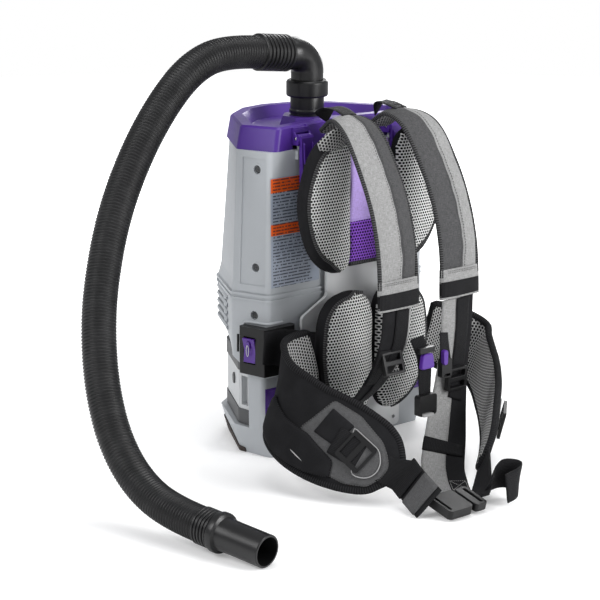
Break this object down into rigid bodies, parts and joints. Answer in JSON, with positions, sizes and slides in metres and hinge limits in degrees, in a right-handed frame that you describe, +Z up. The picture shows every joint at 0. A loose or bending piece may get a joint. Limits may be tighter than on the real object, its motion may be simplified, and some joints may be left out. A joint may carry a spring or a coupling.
{
  "type": "backpack vacuum cleaner",
  "caption": "Cordless backpack vacuum with two-tone housing, lift-off lid, swivel hose, slide-out battery and a padded harness with hip belt.",
  "frame": {"origin": "on the floor under the middle of the housing, in the plane of its flat base", "axes": "+Z up, -Y towards the wearer (harness side), +Y the outer side with the battery, -X to the left of somebody who looks at the harness"},
  "size_m": [0.691, 0.5849, 0.6083],
  "materials": {
    "housing_grey": "fine moulded grain, satin",
    "lid_purple": "satin moulded purple",
    "accent_purple": "satin moulded purple",
    "dark_grey_plastic": "moulded, fine texture",
    "battery_grey": "moulded, fine texture",
    "black_plastic": "moulded acetal, slight sheen",
    "black_gloss": "moulded, semi gloss",
    "hose_black": "corrugated, satin",
    "rubber_brown": "matt rubber",
    "label_face": "printed film, blank",
    "screw_steel": "zinc plated",
    "bright_steel": "ground",
    "plate_grey": "fine moulded grain",
    "pad_mesh": "open spacer mesh",
    "strap_fabric": "woven polyester, stitched",
    "black_fabric": "brushed nylon",
    "webbing_black": "ribbed webbing",
    "mesh_purple": "open spacer mesh",
    "paper": "filter media",
    "filter_cloth": "filter cloth",
    "copper": "wound and brushed",
    "board_green": "solder mask",
    "cell_sleeve": "shrink sleeve",
    "seal_rubber": "soft seal"
  },
  "bodies": {
    "housing": {"chamber_front_shell": "housing_grey", "chamber_rear_shell": "housing_grey", "lower_front_shell": "housing_grey", "lower_rear_shell": "housing_grey", "exhaust_louvres": "housing_grey", "accent_panels": "accent_purple", "info_plate": "label_face", "shell_screws": "screw_steel", "base_bumper": "rubber_brown", "harness_plate": "plate_grey", "plate_screws": "screw_steel", "filter_bag": "paper", "bag_collar": "paper", "dome_filter": "filter_cloth", "motor_housing": "black_plastic", "motor_stator": "copper", "rotor_bearings": "bright_steel", "control_board": "board_green", "battery_contacts": "black_plastic", "switch_housing": "black_plastic", "upper_back_pad_left": "pad_mesh", "upper_back_pad_right": "pad_mesh", "lumbar_pad_left": "pad_mesh", "lumbar_pad_right": "pad_mesh", "shoulder_strap_left": "strap_fabric", "shoulder_strap_right": "strap_fabric", "spine_mesh": "mesh_purple", "lower_strap_left": "webbing_black", "lower_strap_right": "webbing_black", "ladder_locks": "black_plastic", "load_lifters": "webbing_black", "hip_wing_left": "black_fabric", "hip_wing_right": "black_fabric", "belt_webbing_left": "webbing_black", "belt_webbing_right": "webbing_black", "belt_buckle_socket": "black_plastic", "belt_buckle_plug": "black_plastic", "belt_triglides": "black_plastic", "switch_strap": "webbing_black", "sternum_straps": "webbing_black", "sternum_clips": "black_plastic"},
    "lid": {"lid": "lid_purple", "lid_gasket": "seal_rubber", "hose_port": "black_gloss", "latch_pins": "bright_steel"},
    "latch_left": {"lid_latch_left": "lid_purple"},
    "latch_right": {"lid_latch_right": "lid_purple"},
    "hose_assembly": {"swivel_collar": "black_gloss", "elbow": "black_gloss", "hose_cuff": "hose_black", "hose": "hose_black", "wand_cuff": "black_gloss"},
    "battery": {"battery_case": "battery_grey", "battery_end_caps": "dark_grey_plastic", "battery_cells": "cell_sleeve"},
    "gauge_button": {"gauge_button": "dark_grey_plastic"},
    "battery_release": {"battery_release": "accent_purple"},
    "rocker": {"power_rocker": "accent_purple"},
    "rotor": {"rotor_shaft": "bright_steel", "impeller": "black_plastic"}
  },
  "joints": [
    {"name": "lid_lift", "type": "slide", "parent": "housing", "child": "lid", "axis": [0, 0, 1], "range_m": [0, 0.08]},
    {"name": "latch_left_hinge", "type": "hinge", "parent": "lid", "child": "latch_left", "pos_m": [-0.088, -0.103, 0.466], "axis": [-1, 0, 0], "range_deg": [0, 14]},
    {"name": "latch_right_hinge", "type": "hinge", "parent": "lid", "child": "latch_right", "pos_m": [0.088, -0.103, 0.466], "axis": [-1, 0, 0], "range_deg": [0, 14]},
    {"name": "hose_swivel", "type": "hinge", "parent": "lid", "child": "hose_assembly", "pos_m": [0, -0.01, 0.515], "axis": [0, 0, 1], "range_deg": [-180, 6]},
    {"name": "battery_slide", "type": "slide", "parent": "housing", "child": "battery", "axis": [0, 1, 0], "range_m": [0, 0.165]},
    {"name": "release_press", "type": "slide", "parent": "battery", "child": "battery_release", "axis": [0, -1, 0], "range_m": [0, 0.003], "stiffness_N_per_m": 600},
    {"name": "gauge_press", "type": "slide", "parent": "battery", "child": "gauge_button", "axis": [0.8648, -0.5021, 0], "range_m": [0, 0.0012], "stiffness_N_per_m": 500},
    {"name": "power_rock", "type": "hinge", "parent": "housing", "child": "rocker", "pos_m": [-0.16956, -0.08308, 0.164], "axis": [-0.2308, 0.973, 0], "range_deg": [0, 8]},
    {"name": "impeller_spin", "type": "hinge", "parent": "housing", "child": "rotor", "pos_m": [0, 0, 0.2], "axis": [0, 0, 1], "continuous": true}
  ]
}
